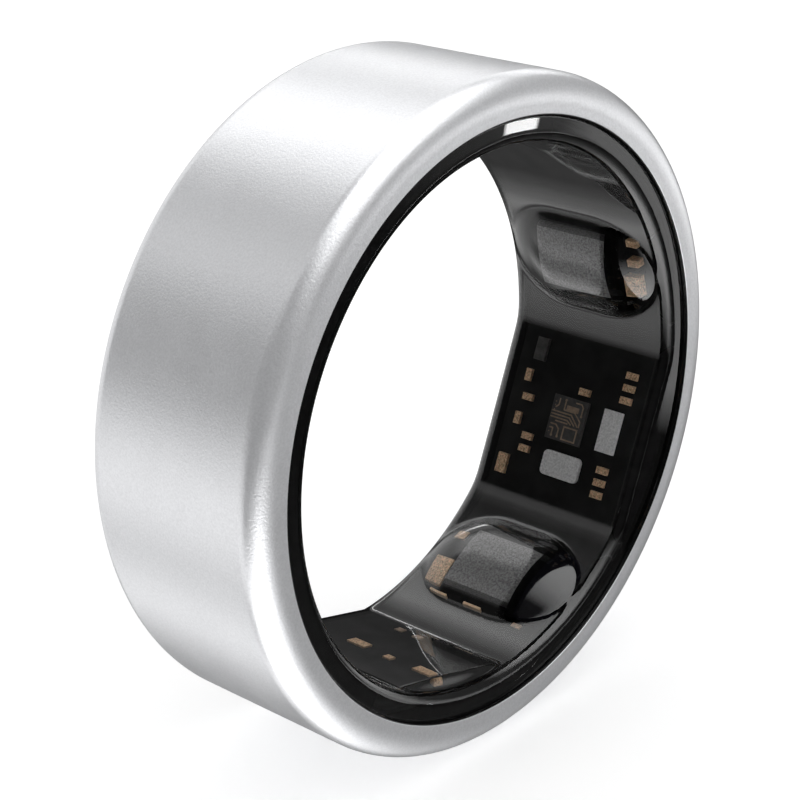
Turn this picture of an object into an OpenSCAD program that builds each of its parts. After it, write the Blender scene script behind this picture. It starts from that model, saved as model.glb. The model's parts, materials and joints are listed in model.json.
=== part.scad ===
// A smart ring that stands on its edge. The axis of the bore lies along Y, the origin is at the
// centre of the bore and the front face looks along -Y.
// Inside the modules the ring's axis is Z, with +Z towards the front face, and angles run from +X
// towards the top of the ring. The last lines stand the ring up.

/* [Ring] */
// Diameter of the bore that the finger goes through
bore_d = 19.54; // [17:0.02:23]
// Thickness of the ring, from the bore to the outside
ring_t = 2.43; // [2.1:0.01:2.9]
// Width of the ring along the finger
ring_w = 7.93; // [6.6:0.01:9.2]
// Radial width of the metal end, from its bore to the outside
face_w = 1.4; // [1.2:0.01:1.6]
// Axial depth of the rounded shoulder
shoulder_depth = 0.78; // [0.4:0.02:1.2]
// Wall of the shell
shell_wall = 0.5; // [0.3:0.05:0.6]
// Axial thickness of the flange at each end of the shell
flange_t = 0.5; // [0.35:0.05:0.6]
// Size of the small bevel at the inner edge of the metal face
edge_bevel = 0.12; // [0.05:0.01:0.15]

/* [Inner moulding] */
// Depth of the resin between the bore and the bends of the board
resin_t = 0.78; // [0.64:0.01:0.92]
// How far the resin face lies below the metal face
lip_drop = 0.165; // [0.13:0.005:0.2]
// Radius of the rounded lip at each end of the bore
lip_r = 0.42; // [0.3:0.01:0.5]
// Angle of the middle of the chip window
window_angle = -22; // [-25:1:-18]
// Angle between the ends of the chip window
window_open_angle = 39.6; // [36:0.2:40]
// Angle from the chip window to the charger flat
charger_step_angle = 81; // [80:1:82]
// Angle between the ends of the charger flat
charger_open_angle = 33.6; // [30:0.2:36]
// Clear skin over the black liner
skin_t = 0.2; // [0.15:0.01:0.25]
// Resin over the tops of the chips in the flats
cover_t = 0.3; // [0.24:0.02:0.36]

/* [Sensor bumps] */
// Angle from the chip window to each sensor bump
sensor_step_angle = 39.8; // [39.4:0.1:40.2]
// Width of a bump round the bore
bump_w = 4.32; // [3.6:0.02:5]
// Height of a bump above the bore
bump_h = 0.9; // [0.74:0.02:1.06]
// From the end of a bump to the resin face
bump_end_gap = 0.47; // [0.4:0.01:0.55]

/* [Circuit board] */
// Thickness of the board
board_t = 0.18; // [0.14:0.01:0.22]
// From the side of the board to the end of the space in the shell
board_side_gap = 0.305; // [0.25:0.005:0.36]
// Depth of the sensor islands of the board below the bore
sensor_depth = 0.4; // [0.34:0.01:0.48]
// Height of the small packages on the board
chip_h = 0.25; // [0.2:0.01:0.3]

/* [Power] */
// Potting over the back of the lithium cell
cell_cover = 0.25; // [0.2:0.01:0.3]
// From the side of the cell to the end of the space in the shell
cell_side_gap = 0.455; // [0.38:0.005:0.54]
// Diameter of the winding's conductor
wire_d = 0.16; // [0.13:0.01:0.19]
// Turns of the charging winding
coil_turns = 4; // [3:1:5]
// Distance from one turn to the next, along the winding's length
coil_pitch = 0.64; // [0.62:0.01:0.75]

/* [Hidden] */
$fn = 96;

bore_r = bore_d / 2;
outer_r = bore_r + ring_t;
half_w = ring_w / 2;
face_inner_r = outer_r - face_w;
flat_face_w = 0.23;
shoulder_reach = face_w - edge_bevel - flat_face_w;
arc_count = 8;
// One overrun for every cut, and the play that is left between neighbouring pieces
overrun = 0.3;
seam = 0.02;

// The space inside the shell
film_t = 0.06;
shell_inner_r = outer_r - shell_wall;
shell_inner_half = half_w - flange_t;
cavity_r = shell_inner_r - film_t;
cavity_half = shell_inner_half - film_t;
lining_r = face_inner_r - film_t;

// The moulding: its face, its flats and its bumps
face_z = half_w - lip_drop;
flat_lip_extra = 0.04;
flat_lip_r = lip_r + flat_lip_extra;
flat_arc_count = 5;
window_d = bore_r * cos(window_open_angle / 2);
charger_d = bore_r * cos(charger_open_angle / 2);
charger_angle = window_angle - charger_step_angle;
upper_angle = window_angle + sensor_step_angle;
lower_angle = window_angle - sensor_step_angle;
bump_base = sqrt(bore_r * bore_r - bump_w * bump_w / 4);
bump_rise = bump_base - (bore_r - bump_h);
bump_r = (bump_rise * bump_rise + bump_w * bump_w / 4) / (2 * bump_rise);
bump_centre = bore_r - bump_h + bump_r;
bump_reach = sqrt(bump_r * bump_r - pow(bump_centre - bore_r, 2));
bump_half_l = face_z - bump_end_gap;
bump_half_w = bump_w / 2;
bump_straight = bump_half_l - bump_reach;

// The board: where its flat islands lie, and where it starts and ends
board_r = bore_r + resin_t;
board_half = cavity_half - board_side_gap;
window_board = window_d + cover_t + chip_h;
charger_board = charger_d + cover_t + chip_h;
sensor_board = bore_r + sensor_depth;
islands = [[window_angle, window_board], [charger_angle, charger_board],
    [upper_angle, sensor_board], [lower_angle, sensor_board]];
lower_end_angle = 25.5;
upper_end_angle = 38;
board_start = charger_angle - lower_end_angle;
board_stop = upper_angle + upper_end_angle;
seam_turn = 180 * seam / (PI * board_r);
tail_half = 1.2;
upper_tail_angle = 20;
lower_tail_angle = 6;

// The winding and what lies under it
coil_gap_angle = 2;
coil_r = board_r - wire_d / 2 - seam;
coil_recess = wire_d + 4 * seam;
coil_inner_half_l = 0.62;
coil_inner_half_w = 0.54;
coil_side_gap = 0.07;
coil_end_gap = 0.28;
// Across the board the turns fill the room that it gives: the winding is widest a quarter turn
// before its end
coil_room = board_half - coil_side_gap - wire_d / 2 - coil_inner_half_w;
coil_widest_share = 0.25;
coil_side_pitch = coil_room / (coil_turns - coil_widest_share);
coil_half_angle = 180 * (coil_inner_half_l + coil_turns * coil_pitch + coil_end_gap) / (PI * coil_r);
coil_start = board_stop + upper_tail_angle + coil_gap_angle;
coil_mid = coil_start + coil_half_angle;
coil_stop = coil_mid + coil_half_angle;
coil_loop_rings = 24;
wire_sides = 6;
coil_pad_l = 0.3;
coil_pad_w = 0.26;

// The cell and its protection circuit
cell_inner_r = board_r + seam;
cell_outer_r = cavity_r - cell_cover;
cell_half_w = cavity_half - cell_side_gap;
tab_t = 0.08;
tab_w = 0.8;
tab_z = 1.2;
guard_l = 1.3;
guard_w = 4.2;
guard_t = 0.2;
guard_half_angle = 180 * guard_l / (2 * PI * board_r);
guard_gap_angle = 0.3;
full_turn_angle = 360;
guard_angle = full_turn_angle + board_start - lower_tail_angle - guard_gap_angle - guard_half_angle;
guard_d = cell_inner_r + tab_t + 2 * seam;
guard_chip_t = 0.25;
guard_chip_l = 0.7;
guard_chip_w = 1;
guard_chip_z = 0.9;
// The cell fills the arc that is left between the winding and its own protection board
cell_gap_angle = 4;
tab_gap_angle = 5.36;
cell_start = coil_stop + cell_gap_angle;
cell_stop = guard_angle - guard_half_angle - tab_gap_angle;

// Sizes of the small packages: along the bore's tangent, and along the finger
small_long = 0.49;
small_short = 0.27;
processor_l = 1.77;
processor_w = 1.63;
processor_rim = 0.05;
can_l = 0.99;
can_w = 1.77;
can_corner = 0.2;
memory_l = 1.67;
memory_w = 0.83;
motion_l = 0.92;
motion_w = 0.53;
large_l = 0.79;
large_w = 0.47;
inductor_l = 0.48;
inductor_w = 0.82;
charger_small = 0.34;
faint_h = 0.16;
stiffener_l = 6;
stiffener_margin = 0.6;
stiffener_w = 2 * (board_half - stiffener_margin);
stiffener_t = 0.2;
power_l = 2.4;
power_w = 2.4;
power_h = 0.5;

// Places of the packages, as shares of half the window's length and half the board's width.
// The first share runs up the ring, the second towards the front face.
window_half_l = bore_r * sin(window_open_angle / 2);
processor_shares = [0, -0.02];
can_shares = [-0.547, 0.06];
memory_shares = [0.014, 0.627];
motion_shares = [0.727, -0.673];
large_shares = [-0.726, -0.827];
resistor_shares = [0.374, 0.129];
rear_wide_shares = [[0.386, -0.768], [-0.148, -0.768]];
rear_tall_shares = [[0.127, -0.692], [-0.327, -0.55], [-0.479, -0.55]];
front_shares = [[0.712, 0.744], [0.565, 0.744], [0.417, 0.744],
    [-0.444, 0.676], [-0.592, 0.676], [-0.736, 0.676]];
charger_half_l = bore_r * sin(charger_open_angle / 2);
inductor_shares = [[-0.107, -0.277], [-0.107, 0.745]];
charger_resistor_shares = [-0.153, 0.226];
charger_cap_shares = [[0.84, -0.38], [0.84, -0.1]];

// Copper artwork on the processor, in shares of its length and width
trace_t = 0.02;
trace_w = 0.055;
trace_dot = 0.1;
bus_shares = [[[0.13, -0.47], [0.13, 0.1], [-0.08, 0.34]], [[0.06, -0.47], [0.06, 0.06], [-0.08, 0.24]],
    [[-0.01, -0.47], [-0.01, 0.02], [-0.08, 0.14]], [[-0.08, -0.3], [-0.08, 0.04]],
    [[0.4, -0.14], [0.2, -0.14], [0.2, 0.18], [0.04, 0.38], [-0.08, 0.38]],
    [[0.42, 0.16], [0.42, 0.32], [0.36, 0.38], [0.18, 0.38]],
    [[0.42, -0.32], [0.28, -0.32], [0.22, -0.39]],
    [[-0.16, -0.4], [-0.16, -0.26], [-0.24, -0.16], [-0.4, -0.16]],
    [[-0.25, -0.4], [-0.25, -0.33], [-0.4, -0.33]]];
dot_shares = [[0.42, -0.14], [0.16, 0.38], [-0.41, -0.16], [-0.41, -0.33]];
via_shares = [[0.34, -0.42], [0.26, -0.42], [0.16, -0.42], [-0.16, -0.42], [-0.25, -0.42], [-0.34, -0.42]];
via_d = 0.05;
core_pad_shares = [0.26, 0.1];
core_pad_l = 0.22;
core_pad_w = 0.58;
frame_pad_shares = [-0.3, 0.17];
frame_pad_l = 0.56;
frame_pad_w = 0.68;
frame_pad_rim = 0.06;

// What stands under the bumps, on the sensor islands of the board. Along a bump lie the rear bay,
// the photodiode, the wall and the front bay. Places round the bore are shares of half the bump's
// width, and those along a bay, and widths there, are shares of the bay's length.
barrier_l_share = 0.81;
barrier_l = barrier_l_share * bump_w;
barrier_w = 0.32;
barrier_share = 0.5255;
barrier_z = barrier_share * bump_half_l;
barrier_cover = 0.14;
front_bay = barrier_z + barrier_w / 2;
front_bay_l = bump_half_l - front_bay;
diode_l = 2.3;
diode_h = 0.42;
diode_gap = 0.07;
diode_rear_share = 0.5105;
diode_front = barrier_z - barrier_w / 2 - diode_gap;
diode_rear = -diode_rear_share * bump_half_l;
rear_bay_l = bump_half_l + diode_rear;
led_h = 0.4;
led_big_l = 0.85;
led_big_shares = [-0.264, 0.248, 0.42];
led_small_l = 0.28;
led_small_shares = [[0.194, 0.373, 0.317], [0.579, 0.415, 0.317]];
filter_l_share = 0.787;
filter_l = filter_l_share * bump_w;
filter_share = 0.786;
filter_cover = 0.12;
emitter_h = 0.2;
emitter_big_l = 1.1;
emitter_big_shares = [-0.38, 0.3374, 0.5215];
emitter_small_l = 0.36;
emitter_small_shares = [0.361, 0.368, 0.2945];
bar_l = 0.12;
bar_w = 0.84;
bar_h = 0.3;
bar_shares = [[-0.806, -0.51], [-0.806, 0]];
thermo_l = 0.22;
thermo_w = 0.38;
thermo_h = 0.2;
thermo_shares = [-0.88, 0.642];

// The radio strip on the back of the board's upper tail: arcs side by side, joined at their ends
antenna_t = 0.06;
antenna_strip = 0.2;
antenna_row_count = 4;
antenna_link_count = antenna_row_count - 1;
antenna_row_step = 0.5;
antenna_lead_angle = 3;
antenna_start = board_stop + antenna_lead_angle;
antenna_arc_angle = 15;
antenna_link_angle = 1.1;
antenna_r = board_r + board_t;

// Half of the shell's outline, from the edge of its bore over the face and the shoulder
shell_half = concat(
    [[face_inner_r, half_w - edge_bevel], [face_inner_r + edge_bevel, half_w]],
    [for (i = [0:arc_count])
        let (turn = i * 90 / arc_count)
        [outer_r - shoulder_reach * (1 - sin(turn)), half_w - shoulder_depth * (1 - cos(turn))]]);

function flipped(points) = [for (i = [len(points) - 1:-1:0]) [points[i][0], -points[i][1]]];

// The moulding's outline with a bore at radius inner, and round lips of radius lip in steps
function lip_points(inner, lip, steps) = [for (i = [steps:-1:0])
    let (turn = i * 90 / steps)
    [inner + lip * (1 - cos(turn)), face_z - lip * (1 - sin(turn))]];
function moulding_outline(inner, outer, lip, steps) = concat([[outer, face_z]],
    lip_points(inner, lip, steps), flipped(lip_points(inner, lip, steps)), [[outer, -face_z]]);

// A wedge from angle from to angle to, wider than the ring
wedge_r = outer_r * 2;
wedge_steps = 8;
function wedge(from, to) = concat([[0, 0]], [for (i = [0:wedge_steps])
    let (turn = from + (to - from) * i / wedge_steps)
    [wedge_r * cos(turn), wedge_r * sin(turn)]]);

module tube(from_r, to_r, half) {
    translate([0, 0, -half])
        difference() {
            cylinder(r = to_r, h = 2 * half);
            translate([0, 0, -overrun])
                cylinder(r = from_r, h = 2 * half + 2 * overrun);
        }
}

// A piece of a tube between two angles
module tube_part(from_r, to_r, half, from, to) {
    intersection() {
        tube(from_r, to_r, half);
        translate([0, 0, -half - overrun])
            linear_extrude(2 * half + 2 * overrun)
                polygon(wedge(from, to));
    }
}

// The outline of the board at a distance out from its inner face
module board_outline(out, half) {
    translate([0, 0, -half])
        difference() {
            cylinder(r = board_r + out, h = 2 * half);
            for (island = islands)
                rotate([0, 0, island[0]])
                    translate([island[1] + out, -outer_r, -overrun])
                        cube([outer_r, 2 * outer_r, 2 * half + 2 * overrun]);
        }
}

// A flat package on an island: seated on distance d, standing inwards, with play grow in a pocket
module package(d, t, z, l, w, h, grow) {
    translate([d - h - grow, t - l / 2 - grow, z - w / 2 - grow])
        cube([h + grow, l + 2 * grow, w + 2 * grow]);
}

// A package in the window, placed by its shares
module window_package(shares, l, w, h, grow) {
    rotate([0, 0, window_angle])
        package(window_board, shares[0] * window_half_l, shares[1] * board_half, l, w, h, grow);
}

module charger_package(shares, l, w, h, grow) {
    rotate([0, 0, charger_angle])
        package(charger_board, shares[0] * charger_half_l, shares[1] * board_half, l, w, h, grow);
}

module sensor_package(angle, t, z, l, w, h, grow) {
    rotate([0, 0, angle])
        package(sensor_board, t, z, l, w, h, grow);
}

// A package in the front bay of a bump, and one in the rear bay, placed by its shares
module front_package(angle, shares, l, h, grow) {
    sensor_package(angle, shares[0] * bump_half_w, front_bay + shares[1] * front_bay_l, l,
        shares[2] * front_bay_l, h, grow);
}

module rear_package(angle, shares, l, h, grow) {
    sensor_package(angle, shares[0] * bump_half_w, diode_rear - shares[1] * rear_bay_l, l,
        shares[2] * rear_bay_l, h, grow);
}

module outer_shell() {
    color([0.78, 0.79, 0.8])
        rotate_extrude()
            polygon(concat(shell_half, flipped(shell_half),
                [[face_inner_r, -shell_inner_half], [shell_inner_r, -shell_inner_half],
                [shell_inner_r, shell_inner_half], [face_inner_r, shell_inner_half]]));
}

// The film lines the space in the shell and the bores of its flanges
module insulating_film() {
    color([0.05, 0.05, 0.05])
        rotate_extrude()
            polygon([[face_inner_r, face_z], [face_inner_r, shell_inner_half],
                [shell_inner_r, shell_inner_half], [shell_inner_r, -shell_inner_half],
                [face_inner_r, -shell_inner_half], [face_inner_r, -face_z],
                [lining_r, -face_z], [lining_r, -cavity_half], [cavity_r, -cavity_half],
                [cavity_r, cavity_half], [lining_r, cavity_half], [lining_r, face_z]]);
}

// Everything that the moulding may fill, with the liner in it, out to the board and the flanges
module moulding_space() {
    board_outline(0, board_half);
    for (side = [0, 1])
        mirror([0, 0, side])
            translate([0, 0, board_half])
                cylinder(r = lining_r - seam, h = face_z - board_half);
}

// A flat across the bore at distance d, with the same lips as the bore
module flat_block(angle, d) {
    rotate([0, 0, angle])
        rotate([90, 0, 0])
            translate([0, 0, -outer_r / 2])
                linear_extrude(outer_r)
                    polygon(moulding_outline(d, face_inner_r, flat_lip_r, flat_arc_count));
}

// The pill shape of a sensor bump, or what lies deeper in it than cover
module bump(angle, cover) {
    rotate([0, 0, angle])
        translate([bump_centre, 0, 0]) {
            translate([0, 0, -bump_straight])
                cylinder(r = bump_r - cover, h = 2 * bump_straight);
            for (side = [-1, 1])
                translate([0, 0, side * bump_straight])
                    sphere(r = bump_r - cover);
        }
}

module moulding_body() {
    rotate_extrude()
        polygon(moulding_outline(bore_r, face_inner_r, lip_r, arc_count));
    intersection() {
        union() {
            flat_block(window_angle, window_d);
            flat_block(charger_angle, charger_d);
        }
        translate([0, 0, -face_z])
            cylinder(r = bore_r + flat_lip_r + overrun, h = 2 * face_z);
    }
    intersection() {
        union() {
            bump(upper_angle, 0);
            bump(lower_angle, 0);
        }
        translate([0, 0, -face_z])
            cylinder(r = bore_r + overrun, h = 2 * face_z);
    }
}

// What is moulded in, with play grow round each piece
module moulded_in(grow) {
    processor_block(grow);
    crystal_block(grow);
    window_package(memory_shares, memory_l, memory_w, chip_h, grow);
    window_package(motion_shares, motion_l, motion_w, chip_h, grow);
    window_package(large_shares, large_l, large_w, chip_h, grow);
    window_package(resistor_shares, small_short, small_long, chip_h, grow);
    rear_blocks(grow);
    front_blocks(grow);
    inductor_blocks(grow);
    charger_package(charger_resistor_shares, charger_small, charger_small, chip_h, grow);
    faint_blocks(grow);
    for (angle = [upper_angle, lower_angle]) {
        diode_block(angle, grow);
        barrier_block(angle, grow);
    }
    led_blocks(grow);
    filter_block(grow);
    emitter_blocks(grow);
    bar_blocks(grow);
    thermo_block(grow);
}

// The arc of the liner, from the end of the board's upper tail on to where the board starts
module liner_arc(from_r, half, play) {
    tube_part(from_r, outer_r, half, board_stop + upper_tail_angle + play,
        full_turn_angle + board_start - play);
}

// An opaque liner hides the cell and the winding, and has a recess for the winding in its back
module black_liner() {
    color([0.04, 0.04, 0.04])
        difference() {
            intersection() {
                moulding_space();
                liner_arc(bore_r + skin_t + seam, cavity_half - seam, seam_turn);
            }
            coil_space();
        }
}

module inner_moulding() {
    color([0.12, 0.12, 0.13, 0.45])
        difference() {
            intersection() {
                moulding_body();
                moulding_space();
            }
            moulded_in(seam);
            liner_arc(bore_r + skin_t, cavity_half, 0);
        }
}

module flex_board() {
    color([0.07, 0.07, 0.07])
        difference() {
            intersection() {
                board_outline(board_t, board_half - seam);
                translate([0, 0, -half_w])
                    linear_extrude(ring_w)
                        polygon(wedge(board_start, board_stop));
            }
            board_outline(seam, board_half);
        }
    color([0.07, 0.07, 0.07])
        for (tail = [[board_start - lower_tail_angle, board_start],
                [board_stop, board_stop + upper_tail_angle]])
            tube_part(board_r + seam, board_r + board_t, tail_half, tail[0], tail[1]);
}

// The pocket that the board and its tails leave in the potting
module board_space() {
    intersection() {
        board_outline(board_t + seam, board_half);
        translate([0, 0, -half_w])
            linear_extrude(ring_w)
                polygon(wedge(board_start, board_stop));
    }
    tube_part(bore_r, board_r + board_t + seam, tail_half + seam, board_start - lower_tail_angle - seam_turn,
        board_start);
    tube_part(bore_r, board_r + board_t + seam, tail_half + seam, board_stop,
        board_stop + upper_tail_angle + seam_turn);
}

module back_potting() {
    color([0.06, 0.06, 0.06])
        difference() {
            translate([0, 0, -cavity_half + seam])
                cylinder(r = cavity_r - seam, h = 2 * cavity_half - 2 * seam);
            board_outline(seam, board_half);
            for (side = [0, 1])
                mirror([0, 0, side])
                    translate([0, 0, board_half - seam])
                        cylinder(r = lining_r, h = half_w);
            board_space();
            stiffener_block(seam);
            power_block(seam);
            tube_part(bore_r, cell_outer_r + seam, cell_half_w + seam, cell_start - seam_turn,
                cell_stop + seam_turn);
            tube_part(bore_r, board_r + board_t + seam, board_half, coil_start - seam_turn,
                coil_stop + seam_turn);
            tab_blocks(seam);
            guard_block(seam);
            guard_chip_blocks(seam);
            antenna_space();
        }
}

module stiffener_block(grow) {
    rotate([0, 0, window_angle])
        translate([window_board + board_t, -stiffener_l / 2 - grow, -stiffener_w / 2 - grow])
            cube([stiffener_t + grow, stiffener_l + 2 * grow, stiffener_w + 2 * grow]);
}

module board_stiffener() {
    color([0.6, 0.6, 0.62])
        stiffener_block(0);
}

module power_block(grow) {
    rotate([0, 0, window_angle])
        translate([window_board + board_t + stiffener_t, -power_l / 2 - grow, -power_w / 2 - grow])
            cube([power_h + grow, power_l + 2 * grow, power_w + 2 * grow]);
}

module power_chip() {
    color([0.15, 0.15, 0.16])
        power_block(0);
}

module processor_block(grow) {
    window_package(processor_shares, processor_l, processor_w, chip_h, grow);
}

module processor_chip() {
    color([0.22, 0.22, 0.22])
        difference() {
            processor_block(0);
            rotate([0, 0, window_angle])
                package(window_board - chip_h + trace_t, 0, processor_shares[1] * board_half,
                    processor_l - 2 * processor_rim, processor_w - 2 * processor_rim, trace_t + overrun, 0);
        }
}

// A flat line of the artwork between two places
module trace(from, to) {
    run = to - from;
    translate(from)
        rotate(atan2(run[1], run[0]))
            translate([0, -trace_w / 2])
                square([norm(run), trace_w]);
    for (end = [from, to])
        translate(end)
            circle(d = trace_w, $fn = 8);
}

module trace_artwork() {
    size = [processor_l, processor_w];
    for (line = bus_shares)
        for (i = [1:len(line) - 1])
            trace([line[i - 1][0] * size[0], line[i - 1][1] * size[1]],
                [line[i][0] * size[0], line[i][1] * size[1]]);
    for (dot = dot_shares)
        translate([dot[0] * size[0], dot[1] * size[1]])
            circle(d = trace_dot, $fn = 16);
    for (via = via_shares)
        translate([via[0] * size[0], via[1] * size[1]])
            circle(d = via_d, $fn = 8);
    translate([core_pad_shares[0] * size[0] - core_pad_l / 2, core_pad_shares[1] * size[1] - core_pad_w / 2])
        square([core_pad_l, core_pad_w]);
    translate([frame_pad_shares[0] * size[0], frame_pad_shares[1] * size[1]])
        difference() {
            square([frame_pad_l, frame_pad_w], center = true);
            square([frame_pad_l - 2 * frame_pad_rim, frame_pad_w - 2 * frame_pad_rim], center = true);
        }
}

module chip_traces() {
    color([0.45, 0.38, 0.33])
        rotate([0, 0, window_angle])
            translate([window_board - chip_h, 0, processor_shares[1] * board_half])
                rotate([90, 0, 90])
                    linear_extrude(trace_t)
                        trace_artwork();
}

module crystal_block(grow) {
    rotate([0, 0, window_angle])
        translate([window_board - chip_h - grow, can_shares[0] * window_half_l, can_shares[1] * board_half])
            rotate([90, 0, 90])
                linear_extrude(chip_h + grow)
                    can_outline(grow);
}

// A rectangle with round corners
module can_outline(grow) {
    square([can_l + 2 * grow, can_w - 2 * can_corner], center = true);
    square([can_l - 2 * can_corner, can_w + 2 * grow], center = true);
    for (x = [-1, 1])
        for (y = [-1, 1])
            translate([x * (can_l / 2 - can_corner), y * (can_w / 2 - can_corner)])
                circle(r = can_corner + grow, $fn = 32);
}

module crystal_can() {
    color([0.75, 0.75, 0.76])
        crystal_block(0);
}

module memory_chip() {
    color([0.72, 0.72, 0.73])
        window_package(memory_shares, memory_l, memory_w, chip_h, 0);
}

module motion_sensor() {
    color([0.2, 0.2, 0.21])
        window_package(motion_shares, motion_l, motion_w, chip_h, 0);
}

module large_capacitor() {
    color([0.7, 0.52, 0.38])
        window_package(large_shares, large_l, large_w, chip_h, 0);
}

module rear_blocks(grow) {
    for (shares = rear_wide_shares)
        window_package(shares, small_long, small_short, chip_h, grow);
    for (shares = rear_tall_shares)
        window_package(shares, small_short, small_long, chip_h, grow);
}

module rear_passives() {
    color([0.7, 0.52, 0.38])
        rear_blocks(0);
}

module chip_resistor() {
    color([0.7, 0.52, 0.38])
        window_package(resistor_shares, small_short, small_long, chip_h, 0);
}

module front_blocks(grow) {
    for (shares = front_shares)
        window_package(shares, small_short, small_long, chip_h, grow);
}

module front_passives() {
    color([0.7, 0.52, 0.38])
        front_blocks(0);
}

module inductor_blocks(grow) {
    for (shares = inductor_shares)
        charger_package(shares, inductor_l, inductor_w, chip_h, grow);
}

module charger_inductors() {
    color([0.75, 0.57, 0.42])
        inductor_blocks(0);
}

module charger_resistor() {
    color([0.75, 0.57, 0.42])
        charger_package(charger_resistor_shares, charger_small, charger_small, chip_h, 0);
}

module faint_blocks(grow) {
    for (shares = charger_cap_shares)
        charger_package(shares, charger_small, charger_small, faint_h, grow);
}

module charger_capacitors() {
    color([0.45, 0.38, 0.33])
        faint_blocks(0);
}

module diode_block(angle, grow) {
    sensor_package(angle, 0, (diode_front + diode_rear) / 2, diode_l, diode_front - diode_rear, diode_h,
        grow);
}

module photodiode_upper() {
    color([0.45, 0.45, 0.46])
        diode_block(upper_angle, 0);
}

module photodiode_lower() {
    color([0.45, 0.45, 0.46])
        diode_block(lower_angle, 0);
}

module barrier_block(angle, grow) {
    intersection() {
        sensor_package(angle, 0, barrier_z, barrier_l, barrier_w, sensor_depth + bump_h, grow);
        bump(angle, barrier_cover - grow);
    }
}

module light_barrier_upper() {
    color([0.03, 0.03, 0.03])
        barrier_block(upper_angle, 0);
}

module light_barrier_lower() {
    color([0.03, 0.03, 0.03])
        barrier_block(lower_angle, 0);
}

module led_blocks(grow) {
    front_package(upper_angle, led_big_shares, led_big_l, led_h, grow);
    for (shares = led_small_shares)
        front_package(upper_angle, shares, led_small_l, led_h, grow);
}

module leds_upper() {
    color([0.8, 0.62, 0.46])
        led_blocks(0);
}

// The filter fills the front bay of the lower bump, up to the wall
module filter_block(grow) {
    intersection() {
        sensor_package(lower_angle, 0, front_bay + seam + filter_share * front_bay_l / 2, filter_l,
            filter_share * front_bay_l, sensor_depth + bump_h, grow);
        bump(lower_angle, filter_cover - grow);
    }
}

module filter_lower() {
    color([0.02, 0.02, 0.03])
        filter_block(0);
}

module emitter_blocks(grow) {
    rear_package(lower_angle, emitter_big_shares, emitter_big_l, emitter_h, grow);
    rear_package(lower_angle, emitter_small_shares, emitter_small_l, emitter_h, grow);
}

module emitter_pads_lower() {
    color([0.8, 0.62, 0.46])
        emitter_blocks(0);
}

module bar_blocks(grow) {
    for (shares = bar_shares)
        sensor_package(lower_angle, shares[0] * bump_half_w, shares[1] * bump_half_l, bar_l, bar_w, bar_h,
            grow);
}

module contact_bars() {
    color([0.9, 0.75, 0.58])
        bar_blocks(0);
}

module thermo_block(grow) {
    sensor_package(lower_angle, thermo_shares[0] * bump_half_w, thermo_shares[1] * bump_half_l, thermo_l,
        thermo_w, thermo_h, grow);
}

module temperature_sensor() {
    color([0.7, 0.52, 0.38])
        thermo_block(0);
}

module battery_cell() {
    color([0.06, 0.06, 0.065])
        tube_part(cell_inner_r, cell_outer_r, cell_half_w, cell_start, cell_stop);
}

module tab_blocks(grow) {
    for (side = [-1, 1])
        translate([0, 0, side * tab_z])
            tube_part(cell_inner_r - grow, cell_inner_r + tab_t + grow, tab_w / 2 + grow,
                cell_stop, guard_angle);
}

module battery_tabs() {
    color([0.8, 0.8, 0.8])
        tab_blocks(0);
}

module guard_block(grow) {
    rotate([0, 0, guard_angle])
        translate([guard_d - grow, -guard_l / 2 - grow, -guard_w / 2 - grow])
            cube([guard_t + 2 * grow, guard_l + 2 * grow, guard_w + 2 * grow]);
}

module protection_board() {
    color([0.1, 0.25, 0.15])
        guard_block(0);
}

module guard_chip_blocks(grow) {
    rotate([0, 0, guard_angle])
        for (side = [-1, 1])
            translate([guard_d + guard_t, -guard_chip_l / 2 - grow,
                side * guard_chip_z - guard_chip_w / 2 - grow])
                cube([guard_chip_t + grow, guard_chip_l + 2 * grow, guard_chip_w + 2 * grow]);
}

module protection_chips() {
    color([0.12, 0.12, 0.12])
        guard_chip_blocks(0);
}

// The recess in the liner that the winding lies in
module coil_space() {
    tube_part(board_r - coil_recess, board_r + overrun, board_half, coil_start, coil_stop);
}

// The winding is an oval spiral, laid on the inside of the ferrite sheet. Each end runs straight
// for one wire diameter, square to its pad.
coil_rings = coil_turns * coil_loop_rings;
function coil_flat(i) =
    let (turn = 360 * i / coil_loop_rings, turns = i / coil_loop_rings)
    [(coil_inner_half_l + coil_pitch * turns) * cos(turn),
        (coil_inner_half_w + coil_side_pitch * turns) * sin(turn)];
function coil_wrap(p) =
    let (turn = coil_mid + 180 * p[0] / (PI * coil_r))
    [coil_r * cos(turn), coil_r * sin(turn), p[1]];
coil_inner_end = coil_flat(0) - [0, wire_d];
coil_outer_end = coil_flat(coil_rings) + [0, wire_d];
coil_path = [for (p = concat([coil_inner_end], [for (i = [0:coil_rings]) coil_flat(i)], [coil_outer_end]))
    coil_wrap(p)];
coil_last = len(coil_path) - 1;
function unit(v) = v / norm(v);
function heading(i) = unit(coil_path[min(i + 1, coil_last)] - coil_path[max(i - 1, 0)]);
coil_points = [for (i = [0:coil_last]) for (k = [0:wire_sides - 1])
    let (p = coil_path[i], out = unit([p[0], p[1], 0]), across = unit(cross(heading(i), out)),
        up = cross(across, heading(i)), turn = 360 * k / wire_sides)
    p + wire_d / 2 * (cos(turn) * up + sin(turn) * across)];
function fan(start, step) = [for (k = [1:wire_sides - 2]) step > 0
    ? [start, start + k, start + k + 1] : [start, start + k + 1, start + k]];
coil_faces = concat(fan(0, 1),
    [for (i = [0:coil_last - 1]) for (k = [0:wire_sides - 1]) for (half = [0, 1])
        let (a = i * wire_sides + k, b = i * wire_sides + (k + 1) % wire_sides)
        half == 0 ? [a, a + wire_sides, b] : [b, a + wire_sides, b + wire_sides]],
    fan(coil_last * wire_sides, -1));
least_gap = min([for (i = [0:coil_last]) for (j = [i + coil_loop_rings / 2:1:coil_last])
    norm(coil_path[i] - coil_path[j])]) - wire_d;
echo(least_gap_between_turns = least_gap);

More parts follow.
